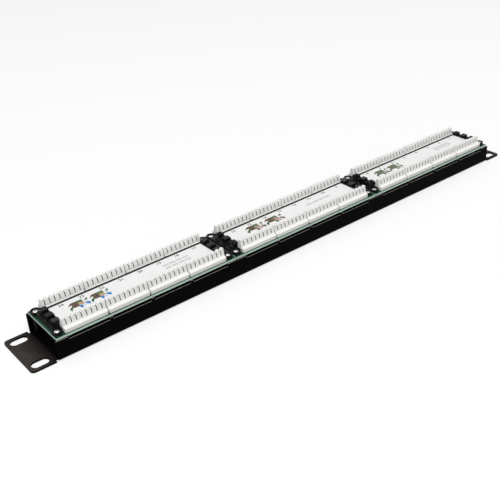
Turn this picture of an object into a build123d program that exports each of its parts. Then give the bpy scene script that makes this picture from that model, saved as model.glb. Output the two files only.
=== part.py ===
from build123d import *
import os

os.makedirs("parts", exist_ok=True)

# The panel lies on its front face: X runs along it, Z points to the punch-down side,
# and the origin is the centre of the front face.

# Punch-down blocks, two rows of four on each board
contacts_per_block = 8
contact_pitch = 3.81
block_end_margin = 1.31
blocks_per_row = 4
block_gap = 0.8
block_row_inset = 5.8
block_height = 9.2
block_base_width = 6.4
block_base_height = 1.7
tooth_thickness = 2.8
tooth_foot_height = 5.0
wire_slot_width = 0.9
lead_in_depth = 1.6
splitter_lead_in = 1.05

# Blade of a displacement contact, standing on the floor of each wire slot
blade_fit = 0.1
blade_thickness = 0.6
blade_height = 2.2

# Modules, each a board with eight jacks in front and eight punch-down blocks behind
module_count = 3
module_end_zone = 7.5
module_gap = 0.8
board_inset = 1.0
board_thickness = 1.6

# Steel panel, one rack unit high, folded from sheet
channel_end_clearance = 0.8
channel_width = 43.6
sheet = 1.5
bend_radius = 0.6
seat_height = 15.4
seat_step = 1.4
seat_bump = 2.6
ear_reach = 19.4
ear_width = 44.0
ear_corner_radius = 3.0
relief_width = 1.6
relief_depth = 2.6
rack_slot_length = 12.5
rack_slot_width = 7.0
rack_slot_end_distance = 8.75
rack_slot_edge_distance = 6.125

# Jack housings, eight ports in one moulding
port_width = 11.8
port_height = 6.8
port_offset = 1.0
latch_width = 6.2
latch_height = 1.5
housing_width = 16.0
housing_end_wall = 2.0
housing_fit = 0.2
flange_margin = 1.8
flange_thickness = 1.6
insert_thickness = 2.8
insert_margin = 0.8
insert_fit = 0.1

# Spring wires, eight in each port
wires_per_port = 8
wire_pitch = 1.02
wire_width = 0.4
wire_thickness = 0.35
wire_front = 2.6
wire_drop = 1.9

# Carrier that holds the label plate between the two rows
carrier_row_clearance = 0.5
carrier_rim = 1.5
carrier_rim_height = 3.8
carrier_floor = 1.2
label_seat_height = 2.2
label_thickness = 1.2
label_fit = 0.2
label_end_rim = 0.5
end_bar_inset = 2.5
end_bar_length = 6.8
post_height = 6.8
post_width = 4.4
post_edge_margin = 0.6
post_count = 3
web_length = 3.8

# Screws of the boards, the carrier's ears round their heads, and the standoffs below.
# These small rounds repeat often, so they are drawn with few flat sides.
round_sides = 10
screw_end_distance = 3.5
screw_edge_distance = 5.3
screw_hole_radius = 1.6
screw_radius = 1.45
screw_head_radius = 2.65
screw_head_height = 2.4
screw_grip = 6.0
thread_fit = 0.05
ear_ring = 0.65
ear_fit = 0.2
standoff_radius = 3.0

# Lengths that follow, from one contact up to the whole panel
block_pitch = contacts_per_block * contact_pitch + 2 * block_end_margin
block_length = block_pitch - block_gap
module_pitch = blocks_per_row * block_pitch + 2 * module_end_zone
board_length = module_pitch - module_gap
channel_length = module_count * module_pitch + 2 * channel_end_clearance
panel_length = channel_length + 2 * ear_reach
rack_slot_spacing_x = panel_length - 2 * rack_slot_end_distance
screw_spacing_x = board_length - 2 * screw_end_distance
ports_per_module = 2 * blocks_per_row
port_pitch = block_pitch / 2
ports_span = (ports_per_module - 1) * port_pitch + port_width
housing_length = ports_span + 2 * housing_end_wall
pocket_length = ports_span + 2 * insert_margin
carrier_length = board_length - 2 * end_bar_inset
end_bar_offset = (carrier_length - end_bar_length) / 2
recess_length = carrier_length - 2 * (end_bar_length + label_end_rim)

# Widths and heights that follow
board_width = channel_width - 2 * board_inset
board_top = seat_height + board_thickness
rack_slot_spacing_y = ear_width - 2 * rack_slot_edge_distance
screw_spacing_y = board_width - 2 * screw_edge_distance
block_row_offset = board_width / 2 - block_row_inset
slot_floor = board_top + tooth_foot_height
tooth_top = board_top + block_height
port_ceiling = port_offset + port_height / 2
latch_floor = port_offset - port_height / 2 - latch_height
port_depth = seat_height - insert_thickness
pocket_width = port_height + 2 * insert_margin
carrier_width = 2 * (block_row_offset - carrier_row_clearance) - block_base_width
recess_width = carrier_width - 2 * carrier_rim
post_spacing = (carrier_width - 2 * post_edge_margin - post_width) / (post_count - 1)
hole_in_ear = screw_head_radius + ear_fit

# Centres of what repeats
module_centres = [(i - (module_count - 1) / 2) * module_pitch for i in range(module_count)]
block_centres = [(i - (blocks_per_row - 1) / 2) * block_pitch for i in range(blocks_per_row)]
port_centres = [(i - (ports_per_module - 1) / 2) * port_pitch for i in range(ports_per_module)]
contact_centres = [
    (i - (contacts_per_block - 1) / 2) * contact_pitch for i in range(contacts_per_block)
]
wire_centres = [
    port + (i - (wires_per_port - 1) / 2) * wire_pitch
    for port in port_centres
    for i in range(wires_per_port)
]


# Steel panel: a channel with open ends and two mounting ears, cut and folded from one blank
with BuildPart() as panel:
    with BuildSketch(Plane.YZ) as channel_section:
        with Locations((0, seat_height / 2)):
            Rectangle(channel_width, seat_height)
        outer_corners = channel_section.vertices().group_by(Axis.Y)[0]
        fillet(outer_corners, sheet + bend_radius)
        with Locations((0, (seat_height + sheet) / 2)):
            Rectangle(channel_width - 2 * sheet, seat_height - sheet, mode=Mode.SUBTRACT)
        inner_corners = channel_section.vertices().group_by(Axis.Y)[1]
        fillet(inner_corners, bend_radius)
    extrude(amount=channel_length / 2, both=True)

    # Ears reach a little under the channel, where the fold ends
    with BuildSketch(Plane.XY) as ears:
        RectangleRounded(panel_length, ear_width, ear_corner_radius)
        Rectangle(channel_length, ear_width, mode=Mode.SUBTRACT)
    extrude(amount=sheet)

    # Relief notches free the ends of the folds from the ears
    with BuildSketch(Plane.XY) as reliefs:
        with GridLocations(channel_length + relief_width, ear_width - relief_depth, 2, 2):
            Rectangle(relief_width, relief_depth)
    extrude(amount=sheet, mode=Mode.SUBTRACT)

    # Wall edges stand high where they carry a board and low beside each block
    with BuildSketch(Plane.XZ) as edge_gaps:
        with Locations(*[(m, seat_height - seat_step / 2) for m in module_centres]):
            with GridLocations(block_pitch, 0, blocks_per_row, 1):
                Rectangle(block_pitch - seat_bump, seat_step)
    extrude(amount=channel_width, both=True, mode=Mode.SUBTRACT)

    # One window for each jack housing, and the open rack slots
    with BuildSketch(Plane.XY) as openings:
        with Locations(*[(m, 0) for m in module_centres]):
            Rectangle(housing_length + 2 * housing_fit, housing_width + 2 * housing_fit)
        with GridLocations(rack_slot_spacing_x, rack_slot_spacing_y, 2, 2):
            SlotOverall(rack_slot_length, rack_slot_width)
    extrude(amount=sheet, mode=Mode.SUBTRACT)
panel.part.label = "steel_panel"
export_step(panel.part, "parts/steel_panel.step")


# Standoffs: hexagonal pillars on the panel's inside, bored for the module screws
with BuildPart() as standoffs:
    with BuildSketch(Plane.XY.offset(sheet)):
        with Locations(*[(m, 0) for m in module_centres]):
            with GridLocations(screw_spacing_x, screw_spacing_y, 2, 2):
                RegularPolygon(standoff_radius, 6)
    extrude(amount=seat_height - sheet)
    with BuildSketch(Plane.XY.offset(seat_height)):
        with Locations(*[(m, 0) for m in module_centres]):
            with GridLocations(screw_spacing_x, screw_spacing_y, 2, 2):
                RegularPolygon(screw_radius + thread_fit, round_sides)
    extrude(amount=-screw_grip, mode=Mode.SUBTRACT)
standoffs.part.label = "standoffs"
export_step(standoffs.part, "parts/standoffs.step")


# Circuit board of one module
with BuildPart() as board:
    with BuildSketch(Plane.XY.offset(seat_height)):
        Rectangle(board_length, board_width)
        with GridLocations(screw_spacing_x, screw_spacing_y, 2, 2):
            RegularPolygon(screw_hole_radius, round_sides, mode=Mode.SUBTRACT)
    extrude(amount=board_thickness)


# Jack housing of one module: eight stepped ports, and one long pocket behind them
with BuildPart() as housing:
    with BuildSketch(Plane.XY):
        Rectangle(housing_length, housing_width)
    extrude(amount=seat_height)
    with BuildSketch(Plane.XY.offset(sheet)):
        Rectangle(housing_length + 2 * flange_margin, housing_width + 2 * flange_margin)
    extrude(amount=flange_thickness)
    with BuildSketch(Plane.XY):
        with Locations(*[(p, port_offset) for p in port_centres]):
            Rectangle(port_width, port_height)
        with Locations(*[(p, latch_floor) for p in port_centres]):
            Rectangle(latch_width, latch_height, align=(Align.CENTER, Align.MIN))
    extrude(amount=port_depth, mode=Mode.SUBTRACT)
    with BuildSketch(Plane.XY.offset(port_depth)):
        with Locations((0, port_offset)):
            Rectangle(pocket_length, pocket_width)
    extrude(amount=seat_height - port_depth, mode=Mode.SUBTRACT)


# Insert: the bar in that pocket, which closes the ports and holds the spring wires
with BuildPart() as insert:
    with BuildSketch(Plane.XY.offset(port_depth)):
        with Locations((0, port_offset)):
            Rectangle(pocket_length - 2 * insert_fit, pocket_width - 2 * insert_fit)
    extrude(amount=seat_height - port_depth)


# One spring wire: it leans from the ceiling of the port to the face of the insert
with BuildPart() as wire:
    with BuildSketch(Plane.YZ):
        with BuildLine():
            Polyline(
                (port_ceiling, wire_front),
                (port_ceiling - wire_drop, port_depth),
                (port_ceiling - wire_drop - wire_thickness, port_depth),
                (port_ceiling - wire_thickness, wire_front),
                close=True,
            )
        make_face()
    extrude(amount=wire_width / 2, both=True)

with BuildPart() as jack_wires:
    with Locations(*[(x, 0, 0) for x in wire_centres]):
        add(wire.part)


# Punch-down block: a comb of teeth on a flared foot, with a V mouth over each wire slot.
# Teeth that split a pair run to a narrow ridge, and teeth between pairs stay broad.
with BuildPart() as block:
    with BuildSketch(Plane.YZ.offset(-block_length / 2)):
        with BuildLine():
            Polyline(
                (block_base_width / 2, board_top),
                (block_base_width / 2, board_top + block_base_height),
                (tooth_thickness / 2, slot_floor),
                (tooth_thickness / 2, tooth_top),
                (-tooth_thickness / 2, tooth_top),
                (-tooth_thickness / 2, slot_floor),
                (-block_base_width / 2, board_top + block_base_height),
                (-block_base_width / 2, board_top),
                close=True,
            )
        make_face()
    extrude(amount=block_length)

    with BuildSketch(Plane.XZ):
        slot_half = wire_slot_width / 2
        mouth = tooth_top - lead_in_depth
        for index, centre in enumerate(contact_centres):
            to_splitter = 1 if index % 2 == 0 else -1
            with BuildLine():
                Polyline(
                    (centre - to_splitter * slot_half, slot_floor),
                    (centre + to_splitter * slot_half, slot_floor),
                    (centre + to_splitter * slot_half, mouth),
                    (centre + to_splitter * (slot_half + splitter_lead_in), tooth_top),
                    (centre - to_splitter * slot_half, tooth_top),
                    close=True,
                )
            make_face()
    extrude(amount=tooth_thickness, both=True, mode=Mode.SUBTRACT)


# Contact blades of one module, one in each wire slot
with BuildPart() as blades:
    with BuildSketch(Plane.XY.offset(slot_floor)):
        with Locations(*[(b, 0) for b in block_centres]):
            with GridLocations(contact_pitch, 2 * block_row_offset, contacts_per_block, 2):
                Rectangle(wire_slot_width - 2 * blade_fit, blade_thickness)
    extrude(amount=blade_height)


# Carrier of one module: a tray for the label, end bars with posts, and four ring ears
# that drop over the heads of the board's screws
with BuildPart() as carrier:
    with BuildSketch(Plane.XY.offset(board_top)):
        Rectangle(carrier_length, carrier_width)
        with GridLocations(carrier_length - web_length, 0, 2, 1):
            Rectangle(web_length, screw_spacing_y)
        with GridLocations(screw_spacing_x, screw_spacing_y, 2, 2):
            RegularPolygon(hole_in_ear + ear_ring, round_sides)
            RegularPolygon(hole_in_ear, round_sides, mode=Mode.SUBTRACT)
    extrude(amount=carrier_rim_height)

    with BuildSketch(Plane.XY.offset(board_top + carrier_rim_height)):
        with GridLocations(2 * end_bar_offset, post_spacing, 2, post_count):
            Rectangle(end_bar_length, post_width)
    extrude(amount=post_height - carrier_rim_height)

    # Seat of the label plate above, and room for the solder pins below
    with BuildSketch(Plane.XY.offset(board_top + label_seat_height)):
        Rectangle(recess_length, recess_width)
    extrude(amount=carrier_rim_height, mode=Mode.SUBTRACT)
    with BuildSketch(Plane.XY.offset(board_top)):
        Rectangle(recess_length, recess_width)
    extrude(amount=label_seat_height - carrier_floor, mode=Mode.SUBTRACT)


# Label plate of one module
with BuildPart() as label_plate:
    with BuildSketch(Plane.XY.offset(board_top + label_seat_height)):
        Rectangle(recess_length - 2 * label_fit, recess_width - 2 * label_fit)
    extrude(amount=label_thickness)


# Screws: heads on the boards, shanks through the boards into the standoffs
with BuildPart() as screws:
    with BuildSketch(Plane.XY.offset(board_top)):
        with Locations(*[(m, 0) for m in module_centres]):
            with GridLocations(screw_spacing_x, screw_spacing_y, 2, 2):
                RegularPolygon(screw_head_radius, round_sides)
    extrude(amount=screw_head_height)
    with BuildSketch(Plane.XY.offset(seat_height - screw_grip)):
        with Locations(*[(m, 0) for m in module_centres]):
            with GridLocations(screw_spacing_x, screw_spacing_y, 2, 2):
                RegularPolygon(screw_radius, round_sides)
    extrude(amount=board_thickness + screw_grip)
screws.part.label = "module_screws"
export_step(screws.part, "parts/module_screws.step")


def place(part, name, x, y=0):
    """Write a copy of a piece at its own place along the panel."""
    piece = part.moved(Location((x, y, 0)))
    piece.label = name
    export_step(piece, f"parts/{name}.step")


for number, centre in enumerate(module_centres, start=1):
    place(board.part, f"circuit_board_{number}", centre)
    place(housing.part, f"jack_housing_{number}", centre)
    place(insert.part, f"jack_insert_{number}", centre)
    place(jack_wires.part, f"jack_wires_{number}", centre)
    place(blades.part, f"contact_blades_{number}", centre)
    place(carrier.part, f"label_carrier_{number}", centre)
    place(label_plate.part, f"label_plate_{number}", centre)
    for place_in_row, along in enumerate(block_centres, start=1):
        for row, side in (("near", -1), ("far", 1)):
            name = f"idc_block_{number}_{row}_{place_in_row}"
            place(block.part, name, centre + along, side * block_row_offset)
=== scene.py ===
"""Flat patch panel for a rack, lying on its front face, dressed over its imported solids."""
import bmesh
import bpy
import math
import random
from mathutils import Matrix, Vector


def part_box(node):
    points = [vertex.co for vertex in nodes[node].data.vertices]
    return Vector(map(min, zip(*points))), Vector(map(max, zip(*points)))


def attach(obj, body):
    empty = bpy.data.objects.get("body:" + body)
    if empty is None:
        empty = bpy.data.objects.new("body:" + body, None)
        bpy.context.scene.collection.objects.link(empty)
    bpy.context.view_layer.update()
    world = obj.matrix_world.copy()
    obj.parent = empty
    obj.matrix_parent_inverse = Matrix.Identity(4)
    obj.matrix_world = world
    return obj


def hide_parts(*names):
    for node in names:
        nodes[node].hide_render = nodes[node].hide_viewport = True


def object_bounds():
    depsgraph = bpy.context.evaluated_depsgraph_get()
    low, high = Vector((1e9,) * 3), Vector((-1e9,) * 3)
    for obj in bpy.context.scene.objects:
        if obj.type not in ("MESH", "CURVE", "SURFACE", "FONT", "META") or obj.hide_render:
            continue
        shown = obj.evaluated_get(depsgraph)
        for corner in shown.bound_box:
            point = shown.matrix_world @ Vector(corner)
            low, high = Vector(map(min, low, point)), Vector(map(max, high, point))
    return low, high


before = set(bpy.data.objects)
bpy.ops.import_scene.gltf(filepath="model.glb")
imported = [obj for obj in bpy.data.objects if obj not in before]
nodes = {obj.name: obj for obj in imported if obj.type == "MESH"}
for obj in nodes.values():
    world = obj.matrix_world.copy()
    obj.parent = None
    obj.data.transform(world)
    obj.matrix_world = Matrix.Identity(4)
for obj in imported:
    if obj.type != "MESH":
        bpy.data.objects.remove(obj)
cad_box = [list(corner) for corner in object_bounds()]


# Steel panel. One sheet of 1.5 mm steel, blanked with its slots and windows, folded up
# at both long edges and coated with a fine black powder paint. A brownish painted sheen
# lies on the ears' upward faces, fading to painted shade towards the channel, and the
# walls' upper edges carry a pale painted highlight on their upward faces along the outside.
mm = 0.001
same_place = 0.001 * mm
flat_bend = math.radians(0.5)
steepest_upward = 0.5


def as_piece(name, form):
    """A new object from a form."""
    mesh = bpy.data.meshes.new(name)
    form.to_mesh(mesh)
    form.free()
    piece = bpy.data.objects.new(name, mesh)
    bpy.context.collection.objects.link(piece)
    return piece


def copied(node, name):
    """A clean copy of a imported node's mesh, as a piece that stands in the node's place."""
    form = bmesh.new()
    form.from_mesh(nodes[node].data)
    bmesh.ops.remove_doubles(form, verts=form.verts, dist=same_place)
    bmesh.ops.dissolve_limit(
        form, angle_limit=flat_bend, verts=form.verts, edges=form.edges
    )
    piece = as_piece(name, form)
    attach(piece, "root")
    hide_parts(node)
    return piece


def round_edges(piece, edge_radius, bend=math.radians(30)):
    """Smooth faces between sharp edges, and those edges rounded."""
    for polygon in piece.data.polygons:
        polygon.use_smooth = True
    piece.data.set_sharp_from_angle(angle=bend)
    rounding = piece.modifiers.new("edge rounding", "BEVEL")
    rounding.width = edge_radius
    rounding.segments = 2
    rounding.limit_method = "ANGLE"
    rounding.angle_limit = bend
    rounding.harden_normals = True
    rounding.use_clamp_overlap = True


def finish_with(piece, material):
    """Gives a piece its material."""
    piece.data.materials.clear()
    piece.data.materials.append(material)


def bar_form(outline, axis, start, end):
    """A bar in mm with one outline, drawn along X or Y; outline points are (across, height)."""
    form = bmesh.new()
    rings = []
    for reach in (start, end):
        places = [
            (reach, across, height) if axis == "X" else (across, reach, height)
            for across, height in outline
        ]
        rings.append([form.verts.new(Vector(place) * mm) for place in places])
    form.faces.new(rings[0])
    form.faces.new(rings[1])
    for side in range(len(outline)):
        after = (side + 1) % len(outline)
        form.faces.new((rings[0][side], rings[0][after], rings[1][after], rings[1][side]))
    bmesh.ops.recalc_face_normals(form, faces=form.faces)
    return form


def with_tool(piece, operation, form):
    """Adds a form to a piece, or cuts it away."""
    tool = as_piece("tool", form)
    change = piece.modifiers.new("tool", "BOOLEAN")
    change.operation = operation
    change.solver = "EXACT"
    change.object = tool
    bpy.context.view_layer.update()
    made = bpy.data.meshes.new_from_object(
        piece.evaluated_get(bpy.context.evaluated_depsgraph_get())
    )
    piece.modifiers.clear()
    piece.data = made
    bpy.data.objects.remove(tool)


def moved_together(forms_and_places):
    """One form from several, each moved to its place."""
    together = bmesh.new()
    for form, place in forms_and_places:
        mesh = bpy.data.meshes.new("part")
        form.to_mesh(mesh)
        form.free()
        mesh.transform(Matrix.Translation(place))
        together.from_mesh(mesh)
        bpy.data.meshes.remove(mesh)
    return together


def block_form(x0, x1, half_width, height):
    """A rectangular block standing on z = 0, in mm."""
    return bar_form(
        ((-half_width, 0), (half_width, 0), (half_width, height), (-half_width, height)),
        "X", x0, x1,
    )


def new_material(name):
    """An empty material: its node tree and its Principled shader."""
    material = bpy.data.materials.new(name)
    material.use_nodes = True
    tree = material.node_tree
    return material, tree, tree.nodes["Principled BSDF"]


def socket(group, name, into, kind, value=None, low=None, high=None):
    """A named socket of a node group."""
    made = group.interface.new_socket(name=name, in_out=into, socket_type=kind)
    if value is not None:
        made.default_value = value
    if low is not None:
        made.min_value, made.max_value = low, high
    return made


def calculate(tree, operation, *values):
    """A Math node over numbers and sockets; gives its result's socket."""
    made = tree.nodes.new("ShaderNodeMath")
    made.operation = operation
    for place, value in enumerate(values):
        if isinstance(value, bpy.types.NodeSocket):
            tree.links.new(value, made.inputs[place])
        else:
            made.inputs[place].default_value = value
    return made.outputs[0]


def blend_colours(tree, share, below, above):
    """A colour Mix node over colours and sockets; gives its result's socket."""
    made = tree.nodes.new("ShaderNodeMix")
    made.data_type = "RGBA"
    tree.links.new(share, made.inputs["Factor"])
    for name, value in (("A", below), ("B", above)):
        if isinstance(value, bpy.types.NodeSocket):
            tree.links.new(value, made.inputs[name])
        else:
            made.inputs[name].default_value = (*value, 1)
    return made.outputs["Result"]


def surface_grain():
    """Node group: a fine grain and a slow mottle, for paints and mouldings."""
    group = bpy.data.node_groups.new("surface grain", "ShaderNodeTree")
    socket(group, "Grain size", "INPUT", "NodeSocketFloat", 0.3, 0.01, 10.0)
    socket(group, "Mottle size", "INPUT", "NodeSocketFloat", 12.0, 0.1, 200.0)
    socket(group, "Grain", "OUTPUT", "NodeSocketFloat")
    socket(group, "Mottle", "OUTPUT", "NodeSocketFloat")
    inputs = group.nodes.new("NodeGroupInput")
    outputs = group.nodes.new("NodeGroupOutput")
    place = group.nodes.new("ShaderNodeTexCoord")
    for size, result, detail in (("Grain size", "Grain", 2.0), ("Mottle size", "Mottle", 3.0)):
        noise = group.nodes.new("ShaderNodeTexNoise")
        noise.inputs["Detail"].default_value = detail
        group.links.new(place.outputs["Object"], noise.inputs["Vector"])
        per_metre = calculate(group, "DIVIDE", 1 / mm, inputs.outputs[size])
        group.links.new(per_metre, noise.inputs["Scale"])
        group.links.new(noise.outputs["Fac"], outputs.inputs[result])
    return group


def upward_faces():
    """Node group: a mask of the faces that look up."""
    group = bpy.data.node_groups.new("upward faces", "ShaderNodeTree")
    socket(group, "Mask", "OUTPUT", "NodeSocketFloat")
    outputs = group.nodes.new("NodeGroupOutput")
    facing = group.nodes.new("ShaderNodeNewGeometry")
    split = group.nodes.new("ShaderNodeSeparateXYZ")
    group.links.new(facing.outputs["True Normal"], split.inputs["Vector"])
    mask = calculate(group, "GREATER_THAN", split.outputs["Z"], steepest_upward)
    group.links.new(mask, outputs.inputs["Mask"])
    return group


grain_group = surface_grain()
upward_group = upward_faces()


def placed_group(tree, group, **values):
    """A node group placed in a material with its own values."""
    made = tree.nodes.new("ShaderNodeGroup")
    made.node_tree = group
    for name, value in values.items():
        made.inputs[name.replace("_", " ")].default_value = value
    return made


sheen_spread = 0.07


def grained(name, colour, pale, roughness, grain_size, depth, specular=0.5, mottle_size=12.0):
    """Paint or moulding: two close tones, a roughness that varies, and a fine raised grain."""
    material, tree, shader = new_material(name)
    grain = placed_group(tree, grain_group, Grain_size=grain_size, Mottle_size=mottle_size)
    tone = blend_colours(tree, grain.outputs["Mottle"], colour, pale)
    tree.links.new(tone, shader.inputs["Base Color"])
    sheen = tree.nodes.new("ShaderNodeMapRange")
    sheen.inputs["To Min"].default_value = roughness - sheen_spread
    sheen.inputs["To Max"].default_value = roughness + sheen_spread
    tree.links.new(grain.outputs["Grain"], sheen.inputs["Value"])
    tree.links.new(sheen.outputs["Result"], shader.inputs["Roughness"])
    relief = tree.nodes.new("ShaderNodeBump")
    relief.inputs["Strength"].default_value = 0.5
    relief.inputs["Distance"].default_value = depth * mm
    tree.links.new(grain.outputs["Grain"], relief.inputs["Height"])
    tree.links.new(relief.outputs["Normal"], shader.inputs["Normal"])
    shader.inputs["Specular IOR Level"].default_value = specular
    return material


powder_coat = grained(
    "black powder coat", (0.0014, 0.0013, 0.0014), (0.0024, 0.0021, 0.0021),
    roughness=0.5, grain_size=0.35, depth=0.02, specular=0.015,
)

# The painted sheen's two tones and the painted edge highlight's, and where they lie on the
# sheet, in metres
painted_sheen_colour = (0.062, 0.053, 0.047)
painted_sheen_faint = (0.03, 0.026, 0.0235)
painted_edge_highlight = (0.27, 0.26, 0.25)
edge_highlight_from = 0.0214
ear_start = 0.2222
sheen_full = 0.237
sheen_least = 0.12
low_edge = 0.0125

# The gaps in the walls' upper edges between the combs' ends, in mm
gaps_per_module = 4
gap_length = 30.6
gap_half_width = 30
gap_bottom = 13.6
gap_height = 5
gap_pitch = 33.1
module_pitch = 147.4


def add_painted_sheen(material):
    """A painted sheen on the ears' upward faces, fading to painted shade towards the channel,
    and a painted highlight on the walls' upward outer edges.
    """
    tree = material.node_tree
    paint = tree.nodes["Principled BSDF"].inputs["Base Color"]
    bare = paint.links[0].from_socket
    place = tree.nodes.new("ShaderNodeTexCoord")
    split = tree.nodes.new("ShaderNodeSeparateXYZ")
    tree.links.new(place.outputs["Object"], split.inputs["Vector"])
    along = calculate(tree, "ABSOLUTE", split.outputs["X"])
    across = calculate(tree, "ABSOLUTE", split.outputs["Y"])
    on_ear = calculate(tree, "GREATER_THAN", along, ear_start)
    on_edge = calculate(tree, "GREATER_THAN", split.outputs["Z"], low_edge)
    outside = calculate(tree, "GREATER_THAN", across, edge_highlight_from)
    upward = placed_group(tree, upward_group)
    sheen_fade = tree.nodes.new("ShaderNodeMapRange")
    sheen_fade.inputs["From Min"].default_value = ear_start
    sheen_fade.inputs["From Max"].default_value = sheen_full
    sheen_fade.inputs["To Min"].default_value = sheen_least
    tree.links.new(along, sheen_fade.inputs["Value"])
    # Painted sheen on the ears' upward faces, weaker towards the channel as painted shade;
    # painted highlight on the walls' upward outer edges
    sheen_share = calculate(tree, "MULTIPLY", on_ear, upward.outputs["Mask"])
    sheen_share = calculate(tree, "MULTIPLY", sheen_share, sheen_fade.outputs["Result"])
    edge_highlight_share = calculate(tree, "MULTIPLY", calculate(tree, "MULTIPLY", on_edge, outside),
                     upward.outputs["Mask"])
    sheen_mottle = placed_group(tree, grain_group, Grain_size=2.5, Mottle_size=9.0)
    sheen_tone = blend_colours(tree, sheen_mottle.outputs["Mottle"], painted_sheen_faint, painted_sheen_colour)
    tone = blend_colours(tree, sheen_share, bare, sheen_tone)
    tree.links.new(blend_colours(tree, edge_highlight_share, tone, painted_edge_highlight), paint)


add_painted_sheen(powder_coat)
panel = copied("steel_panel", "panel_sheet")
gaps = [
    (
        block_form(-gap_length / 2, gap_length / 2, gap_half_width, gap_height),
        Vector((
            module * module_pitch + (step - (gaps_per_module - 1) / 2) * gap_pitch,
            0,
            gap_bottom,
        )) * mm,
    )
    for module in (-1, 0, 1) for step in range(gaps_per_module)
]
with_tool(panel, "DIFFERENCE", moved_together(gaps))
round_edges(panel, edge_radius=0.25 * mm)
finish_with(panel, powder_coat)


# Standoffs. Twelve hexagonal pillars of steel, plated near black, pressed into the sheet.
# The boards rest on them and the module screws go into them.
dull_share = 0.8
scuff_below = 0.08
scuff_above = 0.14


def plated(name, colour, roughness, grain_size=0.6):
    """Plated or drawn metal with faint scuffs."""
    material, tree, shader = new_material(name)
    grain = placed_group(tree, grain_group, Grain_size=grain_size, Mottle_size=3.0)
    dull = [part * dull_share for part in colour]
    tone = blend_colours(tree, grain.outputs["Mottle"], dull, colour)
    tree.links.new(tone, shader.inputs["Base Color"])
    scuff = tree.nodes.new("ShaderNodeMapRange")
    scuff.inputs["To Min"].default_value = roughness - scuff_below
    scuff.inputs["To Max"].default_value = roughness + scuff_above
    tree.links.new(grain.outputs["Grain"], scuff.inputs["Value"])
    tree.links.new(scuff.outputs["Result"], shader.inputs["Roughness"])
    shader.inputs["Metallic"].default_value = 1.0
    return material


near_black_plate = plated("near black plate", (0.012, 0.012, 0.013), roughness=0.42)
standoffs = copied("standoffs", "hexagonal_standoffs")
round_edges(standoffs, edge_radius=0.12 * mm)
finish_with(standoffs, near_black_plate)


# Jack housings. Black glass-filled mouldings with eight stepped ports each; their flange
# sits behind the sheet and their mouths come flush with its front. An insert bar closes
# the ports behind.
housing_plastic = grained(
    "housing moulding", (0.005, 0.005, 0.0055), (0.009, 0.009, 0.0095),
    roughness=0.5, grain_size=0.25, depth=0.015, specular=0.12,
)
for number in (1, 2, 3):
    housing = copied(f"jack_housing_{number}", f"port_moulding_{number}")
    round_edges(housing, edge_radius=0.2 * mm)
    finish_with(housing, housing_plastic)
    insert = copied(f"jack_insert_{number}", f"insert_bar_{number}")
    round_edges(insert, edge_radius=0.08 * mm)
    finish_with(insert, housing_plastic)


# Spring wires. Phosphor bronze wire with a gold flash, eight in each port, held in the
# insert behind and leaning forward to the ceiling of the port.
gold = plated("gold flash", (0.95, 0.66, 0.25), roughness=0.24, grain_size=0.2)
for number in (1, 2, 3):
    finish_with(nodes[f"jack_wires_{number}"], gold)


# Circuit boards. Woven glass laminate under green solder mask, with copper tracks showing
# through it; the sawn edges show the bare laminate, a pale grey-green. They rest on the
# standoffs and on the high edges of the walls.
def solder_mask():
    """Solder mask over tracks on the faces, bare laminate on the sawn edges."""
    material, tree, shader = new_material("green laminate")
    place = tree.nodes.new("ShaderNodeTexCoord")
    grain = placed_group(tree, grain_group, Grain_size=0.4, Mottle_size=5.0)
    tracks = tree.nodes.new("ShaderNodeTexBrick")
    tracks.inputs["Scale"].default_value = 1 / mm
    tracks.inputs["Brick Width"].default_value = 9.0
    tracks.inputs["Row Height"].default_value = 1.1
    tracks.inputs["Mortar Size"].default_value = 0.22
    tracks.inputs["Color1"].default_value = (0.0035, 0.032, 0.0155, 1)
    tracks.inputs["Color2"].default_value = (0.005, 0.04, 0.019, 1)
    tracks.inputs["Mortar"].default_value = (0.008, 0.054, 0.027, 1)
    tree.links.new(place.outputs["Object"], tracks.inputs["Vector"])
    sawn_tone = blend_colours(
        tree, grain.outputs["Grain"], (0.44, 0.6, 0.51), (0.64, 0.79, 0.7)
    )
    facing = tree.nodes.new("ShaderNodeNewGeometry")
    split = tree.nodes.new("ShaderNodeSeparateXYZ")
    tree.links.new(facing.outputs["True Normal"], split.inputs["Vector"])
    upright = calculate(tree, "ABSOLUTE", split.outputs["Z"])
    sawn = calculate(tree, "LESS_THAN", upright, steepest_upward)
    colour = blend_colours(tree, sawn, tracks.outputs["Color"], sawn_tone)
    tree.links.new(colour, shader.inputs["Base Color"])
    gloss = tree.nodes.new("ShaderNodeMapRange")
    gloss.inputs["To Min"].default_value = 0.28
    gloss.inputs["To Max"].default_value = 0.7
    tree.links.new(sawn, gloss.inputs["Value"])
    tree.links.new(gloss.outputs["Result"], shader.inputs["Roughness"])
    relief = tree.nodes.new("ShaderNodeBump")
    relief.inputs["Strength"].default_value = 0.4
    relief.inputs["Distance"].default_value = 0.03 * mm
    tree.links.new(tracks.outputs["Fac"], relief.inputs["Height"])
    tree.links.new(relief.outputs["Normal"], shader.inputs["Normal"])
    shader.inputs["Specular IOR Level"].default_value = 0.35
    return material


laminate = solder_mask()
board_boxes = []
for number in (1, 2, 3):
    board = copied(f"circuit_board_{number}", f"laminate_board_{number}")
    round_edges(board, edge_radius=0.06 * mm)
    finish_with(board, laminate)
    board_boxes.append(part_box(f"circuit_board_{number}"))
board_top = board_boxes[0][1].z


# Punch-down combs. Grey-white moulded blocks with eight wire slots, standing on a foot
# that reaches further outwards than inwards, pressed on to the board over their contacts.
# The slots are drawn in deep, and their walls and floors are painted dark as painted shade.
comb_plastic = grained(
    "comb moulding", (0.8, 0.795, 0.78), (0.86, 0.855, 0.84),
    roughness=0.42, grain_size=0.3, depth=0.008, specular=0.4,
)
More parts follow.
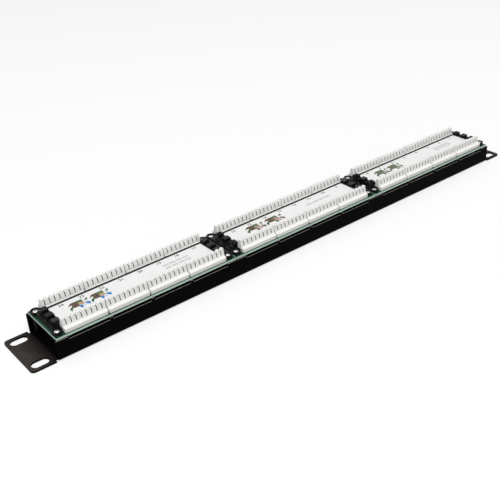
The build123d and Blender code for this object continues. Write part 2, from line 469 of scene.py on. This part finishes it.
# Painted shade: a dark grey-brown for the slots' walls and floors, in place of the shadow
# inside them
slot_painted_shade = grained(
    "comb slot painted shade", (0.16, 0.145, 0.13), (0.24, 0.22, 0.2),
    roughness=0.6, grain_size=0.3, depth=0.01, specular=0.2,
)
comb_length = 32.3
comb_height = 9.2
foot_outer_reach = 4.8
foot_inner_reach = 3.2
foot_height = 2.9
ledge_height = 3.5
tooth_root = 2.2
tooth_tip = 1.2
end_wall = 1
slots_per_comb = 8
slot_pitch = 3.81
slot_half = 0.3
slot_floor_height = 4.5
slot_reach = 6
slot_past_top = 1
mouth_half = 1.25
mouth_depth = 1.6
foot_corner_radius = 1.4
close_by = 0.01
sideways = 0.95
level = 0.9


def comb_mesh():
    """One comb, its foot on z = 0 and its outer side towards -Y."""
    body = bar_form(
        (
            (-foot_outer_reach, 0), (-foot_outer_reach, foot_height),
            (-tooth_root, ledge_height), (-tooth_tip, comb_height), (tooth_tip, comb_height),
            (tooth_root, ledge_height), (foot_inner_reach, foot_height), (foot_inner_reach, 0),
        ),
        "X", -comb_length / 2, comb_length / 2,
    )
    foot_corners = [
        edge for edge in body.edges
        if (edge.verts[0].co.xy - edge.verts[1].co.xy).length < close_by * mm
    ]
    bmesh.ops.bevel(
        body, geom=foot_corners, offset=foot_corner_radius * mm, segments=4, profile=0.5,
        affect="EDGES", clamp_overlap=True,
    )
    blank = as_piece("comb blank", body)
    for place in range(slots_per_comb):
        centre = (place - (slots_per_comb - 1) / 2) * slot_pitch
        slot = [
            (-slot_half, slot_floor_height), (slot_half, slot_floor_height),
            (slot_half, comb_height - mouth_depth), (mouth_half, comb_height),
            (mouth_half, comb_height + slot_past_top),
            (-mouth_half, comb_height + slot_past_top),
            (-mouth_half, comb_height), (-slot_half, comb_height - mouth_depth),
        ]
        cutter = bar_form(
            [(centre + x, z) for x, z in slot], "Y", -slot_reach, slot_reach
        )
        with_tool(blank, "DIFFERENCE", cutter)
    made = blank.data
    bpy.data.objects.remove(blank)
    made.materials.clear()
    made.materials.append(comb_plastic)
    made.materials.append(slot_painted_shade)
    # The slots' walls and floors take the painted shade material
    for polygon in made.polygons:
        centre, normal = polygon.center / mm, polygon.normal
        inside = abs(centre.x) < comb_length / 2 - end_wall
        upright = abs(normal.x) > sideways
        slot_floor = normal.z > level and abs(centre.z - slot_floor_height) < close_by
        if inside and (upright or slot_floor):
            polygon.material_index = 1
    return made


one_comb = comb_mesh()
for number in (1, 2, 3):
    for row, turn in (("near", 0), ("far", math.pi)):
        for along in (1, 2, 3, 4):
            node = f"idc_block_{number}_{row}_{along}"
            low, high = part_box(node)
            mesh = one_comb.copy()
            mesh.transform(
                Matrix.Translation(((low.x + high.x) / 2, (low.y + high.y) / 2, low.z))
                @ Matrix.Rotation(turn, 4, "Z")
            )
            comb = bpy.data.objects.new(f"comb_{number}_{row}_{along}", mesh)
            bpy.context.collection.objects.link(comb)
            round_edges(comb, edge_radius=0.13 * mm)
            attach(comb, "root")
            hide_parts(node)


# Contact blades. Tinned bronze, one in each wire slot, standing in the comb. Their edges
# cut into the wire that is punched down between them.
tinned = plated("tinned bronze", (0.3, 0.29, 0.28), roughness=0.4, grain_size=0.2)
for number in (1, 2, 3):
    finish_with(nodes[f"contact_blades_{number}"], tinned)


# Label carriers. Satin black mouldings: a tray, two end bars with upright posts, and low
# ring ears round the screw heads. The feet under the bars reach further where another
# board follows than at the panel's two ends.
carrier_plastic = grained(
    "carrier moulding", (0.0035, 0.0035, 0.004), (0.006, 0.006, 0.0065),
    roughness=0.28, grain_size=0.4, depth=0.012, specular=0.12,
)
screw_from_end = 3.5 * mm
screw_from_side = 5.3 * mm
ring_outer_radius = 3.5
ring_inner_radius = 2.7
ring_height = 2.3
ring_clearance = 0.25
rim_height = 3.8
post_height = 5.7
post_width = 4.4
post_spacing = 8.5
bar_start = 64.5
bar_end = 69.2
outer_base_end = 71.2
inner_base_end = 72.9
base_half_width = 15.5
base_overlap = 1

# Cutters reach past what they trim, in mm
past_end = 80
past_sides = 30
past_top = 10
top_half_width = 20
top_thickness = 5
corner_half_width = 10
bore_extra = 4


def turned(profile, steps=32):
    """A turned form: (radius, height) pairs in mm, swept round Z, closed on the axis."""
    form = bmesh.new()
    rings = []
    for radius, height in profile:
        if radius == 0:
            rings.append([form.verts.new((0, 0, height * mm))])
            continue
        ring = []
        for step in range(steps):
            angle = 2 * math.pi * (step + 0.5) / steps
            ring.append(
                form.verts.new(
                    (radius * mm * math.cos(angle), radius * mm * math.sin(angle), height * mm)
                )
            )
        rings.append(ring)
    for lower, upper in zip(rings, rings[1:]):
        for step in range(steps):
            after = (step + 1) % steps
            if len(lower) == 1:
                form.faces.new((lower[0], upper[after], upper[step]))
            elif len(upper) == 1:
                form.faces.new((lower[step], lower[after], upper[0]))
            else:
                form.faces.new((lower[step], lower[after], upper[after], upper[step]))
    bmesh.ops.recalc_face_normals(form, faces=form.faces)
    return form


def disc(radius, height):
    """A round bar standing on z = 0, in mm."""
    return turned([(0, 0), (radius, 0), (radius, height), (0, height)])


def screw_places(board_box):
    """The four screw axes of a board."""
    low, high = board_box
    return [
        (x, y)
        for x in (low.x + screw_from_end, high.x - screw_from_end)
        for y in (low.y + screw_from_side, high.y - screw_from_side)
    ]


for number, board_box in enumerate(board_boxes, start=1):
    carrier = copied(f"label_carrier_{number}", f"label_tray_{number}")
    centre_x = (board_box[0].x + board_box[1].x) / 2
    foot = Vector((centre_x, 0, board_top))
    post_tops = block_form(-past_end, past_end, top_half_width, top_thickness)
    with_tool(
        carrier, "DIFFERENCE",
        moved_together([(post_tops, foot + Vector((0, 0, post_height * mm)))]),
    )
    over = Vector((0, 0, ring_height * mm))
    for side in (-1, 1):
        beyond = block_form(
            *sorted((side * bar_end, side * past_end)), past_sides, past_top
        )
        with_tool(carrier, "DIFFERENCE", moved_together([(beyond, foot + over)]))
        for row in (-1, 1):
            corner = block_form(
                *sorted((side * bar_start, side * past_end)), corner_half_width, past_top
            )
            across = corner_half_width + post_spacing + post_width / 2
            middle = Vector((0, row * across * mm, 0))
            with_tool(carrier, "DIFFERENCE", moved_together([(corner, foot + over + middle)]))
        at_panel_end = (number, side) in ((1, -1), (3, 1))
        base_end = outer_base_end if at_panel_end else inner_base_end
        base = block_form(
            *sorted((side * (bar_start + base_overlap), side * base_end)),
            base_half_width, ring_height,
        )
        with_tool(carrier, "UNION", moved_together([(base, foot)]))
    places = [Vector((x, y, board_top)) for x, y in screw_places(board_box)]
    clear_radius = ring_outer_radius + ring_clearance
    clear = [(disc(clear_radius, rim_height), place + over) for place in places]
    with_tool(carrier, "DIFFERENCE", moved_together(clear))
    rings = [(disc(ring_outer_radius, ring_height), place) for place in places]
    with_tool(carrier, "UNION", moved_together(rings))
    below = Vector((0, 0, -mm))
    bore_height = rim_height + bore_extra
    bores = [(disc(ring_inner_radius, bore_height), place + below) for place in places]
    with_tool(carrier, "DIFFERENCE", moved_together(bores))
    round_edges(carrier, edge_radius=0.3 * mm)
    finish_with(carrier, carrier_plastic)


# Label plates. White plastic plates, smooth and slightly glossy, lying in the trays and
# screen printed with port numbers, a chart of wiring colours and ruled lines.
plate_plastic = grained(
    "label plate", (0.79, 0.795, 0.785), (0.83, 0.835, 0.825),
    roughness=0.32, grain_size=1.2, depth=0.004, specular=0.4,
)
thin_ink = 0.85


def ink(name, colour):
    """Screen ink, a little duller than the plate under it."""
    return grained(
        name, [part * thin_ink for part in colour], colour,
        roughness=0.5, grain_size=0.15, depth=0.003, specular=0.25,
    )


inks = {
    "black": ink("black ink", (0.12, 0.12, 0.12)),
    "grey": ink("grey ink", (0.27, 0.27, 0.265)),
    "brown": ink("brown ink", (0.1, 0.07, 0.042)),
    "dark_green": ink("dark green ink", (0.035, 0.115, 0.055)),
    "sage": ink("sage ink", (0.12, 0.175, 0.09)),
    "tan": ink("tan ink", (0.5, 0.33, 0.19)),
    "blue": ink("blue ink", (0.04, 0.2, 0.52)),
    "pale_blue": ink("pale blue ink", (0.55, 0.68, 0.76)),
    "violet": ink("violet ink", (0.4, 0.38, 0.5)),
    "olive": ink("olive ink", (0.13, 0.12, 0.07)),
    "rose": ink("rose ink", (0.42, 0.26, 0.21)),
}
ink_thickness = 0.02
ink_sunk = 0.005
port_count = 24
ports_per_plate = 8
number_size = 3.9
number_weight = 0.09
number_first = -54.7
number_pitch = 15.75
number_line = 6.9
second_chart = 16.2
chart_start = -50
words_per_rule = 4
word_share = 0.86
rule_offset = 0.65
rule_half_height = 0.22

# One wiring chart: fields of colour by their corners, in mm from the plate's centre
chart = (
    ("brown", ((-49.5, -2.3), (-45.0, -2.3), (-45.0, 4.5), (-49.5, 4.5))),
    ("brown", ((-52.5, 1.2), (-49.5, 2.0), (-49.5, 4.3))),
    ("dark_green", ((-52.6, -1.6), (-52.4, -5.0), (-49.5, -1.2), (-49.5, 0.6))),
    ("sage", ((-45.0, 1.4), (-40.8, 1.4), (-40.8, 4.6), (-45.0, 4.6))),
    ("tan", ((-45.0, -1.6), (-41.0, -1.6), (-41.0, 1.4), (-45.0, 1.4))),
    ("blue", ((-46.0, -1.8), (-45.2, -5.4), (-44.0, -5.4), (-42.8, -2.0))),
    ("pale_blue", ((-43.0, -4.6), (-41.0, -4.6), (-41.0, -2.0), (-42.6, -2.0))),
    ("blue", ((-40.9, -0.8), (-40.2, -3.2), (-37.8, -5.0), (-37.2, -1.4))),
    ("dark_green", ((-40.2, 1.8), (-37.0, 1.8), (-37.0, 4.6))),
    ("violet", ((-40.4, -0.4), (-38.6, 1.2), (-38.0, -0.4))),
)

# What differs between the plates: where a chart starts and how long it is drawn, which
# inks it uses for the first one's, and the place of the ruled lines
plates = {
    1: {"shift": 0.0, "stretch": 1.0, "swap": {}, "rules": (24.0, 47.0, (1.5, -2.5))},
    2: {
        "shift": 5.4, "stretch": 1.18,
        "swap": {"blue": "olive", "pale_blue": "rose", "violet": "rose", "tan": "rose"},
        "rules": (15.0, 42.0, (0.0,)),
    },
    3: {
        "shift": 0.5, "stretch": 1.0,
        "swap": {"blue": "olive", "brown": "olive", "pale_blue": "sage", "violet": "sage",
                 "tan": "sage"},
        "rules": (25.0, 47.0, (1.8, -1.2)),
    },
}


def field(form, corners, centre_x, z):
    """A printed field, ink_thickness high, over corners in mm."""
    sides = len(corners)
    rings = [
        [form.verts.new((centre_x + x * mm, y * mm, height)) for x, y in corners]
        for height in (z - ink_sunk * mm, z + ink_thickness * mm)
    ]
    form.faces.new(rings[0])
    form.faces.new(rings[1])
    for side in range(sides):
        after = (side + 1) % sides
        form.faces.new((rings[0][side], rings[0][after], rings[1][after], rings[1][side]))


def printed(name, form, colour):
    """Turns printed fields into one piece on the plate."""
    bmesh.ops.recalc_face_normals(form, faces=form.faces)
    piece = as_piece(name, form)
    finish_with(piece, inks[colour])
    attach(piece, "root")
    return piece


def port_numbers(name, first, centre_x, z):
    """The eight port numbers of a plate, falling from left to right as seen from behind."""
    form = bmesh.new()
    for place in range(ports_per_plate):
        lettering = bpy.data.curves.new("figures", "FONT")
        lettering.body = str(first - place)
        lettering.size = number_size * mm
        lettering.offset = number_weight * mm
        lettering.extrude = ink_thickness / 2 * mm
        lettering.align_x = "CENTER"
        lettering.align_y = "CENTER"
        lettering.resolution_u = 3
        holder = bpy.data.objects.new("figures", lettering)
        bpy.context.collection.objects.link(holder)
        bpy.context.view_layer.update()
        outline = bpy.data.meshes.new_from_object(holder)
        along = centre_x + (number_first + place * number_pitch) * mm
        outline.transform(
            Matrix.Translation((along, number_line * mm, z + ink_thickness / 2 * mm))
        )
        form.from_mesh(outline)
        bpy.data.objects.remove(holder)
        bpy.data.meshes.remove(outline)
        bpy.data.curves.remove(lettering)
    bmesh.ops.remove_doubles(form, verts=form.verts, dist=same_place / 2)
    return printed(name, form, "black")


for number, settings in plates.items():
    plate = copied(f"label_plate_{number}", f"label_{number}")
    round_edges(plate, edge_radius=0.12 * mm)
    finish_with(plate, plate_plastic)
    low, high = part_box(f"label_plate_{number}")
    centre_x = (low.x + high.x) / 2
    first_number = port_count - (number - 1) * ports_per_plate
    port_numbers(f"port_numbers_{number}", first_number, centre_x, high.z)

    forms = {}
    shift, stretch = settings["shift"], settings["stretch"]
    for start in (0, second_chart * stretch):
        for colour, corners in chart:
            colour = settings["swap"].get(colour, colour)
            moved = [
                (chart_start + shift + start + (x - chart_start) * stretch, y)
                for x, y in corners
            ]
            field(forms.setdefault(colour, bmesh.new()), moved, centre_x, high.z)
    first_x, last_x, lines = settings["rules"]
    word = (last_x - first_x) / words_per_rule
    for line in lines:
        for edge in (rule_offset, -rule_offset):
            for part in range(words_per_rule):
                x0 = first_x + part * word
                x1 = x0 + word * word_share
                y0, y1 = line + edge - rule_half_height, line + edge + rule_half_height
                field(
                    forms.setdefault("grey", bmesh.new()),
                    ((x0, y0), (x1, y0), (x1, y1), (x0, y1)), centre_x, high.z,
                )
    for colour, form in forms.items():
        printed(f"{colour}_print_{number}", form, colour)


# Module screws. Cross-recessed pan heads of bright nickel-plated steel, four on each board,
# turned and then struck with the recess.
head_radius = 2.5
head_height = 2.25
head_edge = 0.75
seat_width = 0.1
seat_rise = 0.12
dome_start = math.radians(15)
dome_steps = 6
dome_lip = 0.1
shank_radius = 1.45
shank_length = 7.6
shank_chamfer = 0.3
recess_width = 0.7
recess_length = 2.7
recess_depth = 1.2
recess_taper = 0.45
recess_floor_share = 0.7
punch_past_head = 0.5


def screw_mesh():
    """One screw, its head seated on z = 0."""
    dome = []
    for step in range(dome_steps + 1):
        angle = dome_start + (math.pi / 2 - dome_start) * step / dome_steps
        rise = (math.sin(angle) - math.sin(dome_start)) / (1 - math.sin(dome_start))
        dome.append((
            head_radius * math.cos(angle) / math.cos(dome_start),
            head_edge + dome_lip + (head_height - head_edge - dome_lip) * rise,
        ))
    dome[-1] = (0, head_height)
    shank = [
        (0, -shank_length), (shank_radius - shank_chamfer, -shank_length),
        (shank_radius, shank_chamfer - shank_length), (shank_radius, 0),
    ]
    seat = [(head_radius - seat_width, 0), (head_radius, seat_rise), (head_radius, head_edge)]
    blank = as_piece("screw blank", turned(shank + seat + dome))
    for turn in (0, 90):
        top, foot = recess_length / 2, recess_length / 2 - recess_taper
        across = recess_width / 2
        punch = bmesh.new()
        made = bmesh.ops.create_cube(punch, size=1.0)["verts"]
        for vert in made:
            high = vert.co.z > 0
            vert.co = Vector((
                math.copysign(top if high else foot, vert.co.x) * mm,
                math.copysign(across * (1.0 if high else recess_floor_share), vert.co.y) * mm,
                (head_height + punch_past_head if high else head_height - recess_depth) * mm,
            ))
        bmesh.ops.rotate(punch, verts=made, matrix=Matrix.Rotation(math.radians(turn), 3, "Z"))
        with_tool(blank, "DIFFERENCE", punch)
    struck = blank.data
    bpy.data.objects.remove(blank)
    return struck


one_screw = screw_mesh()
draw = random.Random(7)
all_screws = bmesh.new()
for board_box in board_boxes:
    for x, y in screw_places(board_box):
        copy = one_screw.copy()
        copy.transform(
            Matrix.Translation((x, y, board_top))
            @ Matrix.Rotation(draw.uniform(0, math.pi / 2), 4, "Z")
        )
        all_screws.from_mesh(copy)
        bpy.data.meshes.remove(copy)
for face in all_screws.faces:
    face.smooth = True
screws = as_piece("pan_head_screws", all_screws)
screws.data.set_sharp_from_angle(angle=math.radians(35))
nickel = plated("bright nickel", (0.86, 0.85, 0.83), roughness=0.26, grain_size=0.5)
finish_with(screws, nickel)
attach(screws, "root")
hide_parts("module_screws")


# Floor and light. A plain white table, one large soft light high on the camera's side,
# and a weaker even light from all round. The camera and reflections see the table and
# the room white; the table throws little light back on the panel's walls.
seen_table = 0.47
table_glow = 0.51
throwing_table = 0.33
room_light = 0.5
table_half = 4
key_place = (-0.75, -1.15, 2.65)
key_size = 2.0
key_watts = 63


def seen_ray(tree):
    """A mask of the rays that show a surface: from the camera, in a gloss, or through glass."""
    rays = tree.nodes.new("ShaderNodeLightPath")
    direct = calculate(tree, "MAXIMUM", rays.outputs["Is Camera Ray"],
                       rays.outputs["Is Glossy Ray"])
    return calculate(tree, "MAXIMUM", direct, rays.outputs["Is Transmission Ray"])


floor_form = bmesh.new()
floor_z = cad_box[0][2]
floor_form.faces.new([
    floor_form.verts.new((x * table_half, y * table_half, floor_z))
    for x, y in ((-1, -1), (1, -1), (1, 1), (-1, 1))
])
floor = as_piece("floor", floor_form)
floor_white, floor_tree, floor_shader = new_material("white table")
table_colour = blend_colours(
    floor_tree, seen_ray(floor_tree), (throwing_table,) * 3, (seen_table,) * 3
)
floor_tree.links.new(table_colour, floor_shader.inputs["Base Color"])
glow = blend_colours(floor_tree, seen_ray(floor_tree), (0, 0, 0), (table_glow,) * 3)
floor_tree.links.new(glow, floor_shader.inputs["Emission Color"])
floor_shader.inputs["Emission Strength"].default_value = 1.0
floor_shader.inputs["Roughness"].default_value = 0.9
floor_shader.inputs["Specular IOR Level"].default_value = 0.0
floor.data.materials.append(floor_white)

world = bpy.data.worlds.new("studio")
bpy.context.scene.world = world
world.use_nodes = True
sky = world.node_tree
background = sky.nodes["Background"]
background.inputs["Color"].default_value = (1, 1, 1, 1)
level = sky.nodes.new("ShaderNodeMapRange")
level.inputs["To Min"].default_value = room_light
level.inputs["To Max"].default_value = 1.0
sky.links.new(seen_ray(sky), level.inputs["Value"])
sky.links.new(level.outputs["Result"], background.inputs["Strength"])

lamp = bpy.data.lights.new("key light", "AREA")
lamp.shape = "SQUARE"
lamp.size = key_size
lamp.energy = key_watts
key_light = bpy.data.objects.new("key light", lamp)
key_light.location = key_place
key_light.rotation_euler = (-Vector(key_place)).to_track_quat("-Z", "Y").to_euler()
bpy.context.collection.objects.link(key_light)


# Camera. Its place, turn and focal length are fitted to the corners of ears, boards and
# combs in the photograph, whose frame is 500 pixels wide.
frame_pixels = 500
focal_pixels = 811.2
azimuth = math.radians(-37.47)
elevation = math.radians(30.35)
roll = math.radians(-3.14)
distance = 638.2 * mm
target = Vector((-41.9, 3.7, 0)) * mm
camera_data = bpy.data.cameras.new("camera")
camera_data.sensor_width = 36
camera_data.lens = focal_pixels / frame_pixels * camera_data.sensor_width
camera_data.clip_start = 0.01
camera = bpy.data.objects.new("camera", camera_data)
bpy.context.collection.objects.link(camera)
back = Vector((
    math.sin(azimuth) * math.cos(elevation),
    -math.cos(azimuth) * math.cos(elevation),
    math.sin(elevation),
))
right = (-back).cross(Vector((0, 0, 1))).normalized()
up = right.cross(-back)
tilted_right = math.cos(roll) * right + math.sin(roll) * up
tilted_up = -math.sin(roll) * right + math.cos(roll) * up
camera.matrix_world = Matrix.Translation(target + back * distance) @ Matrix(
    (tilted_right, tilted_up, back)
).transposed().to_4x4()
bpy.context.scene.camera = camera
bpy.context.scene.view_settings.view_transform = "Standard"
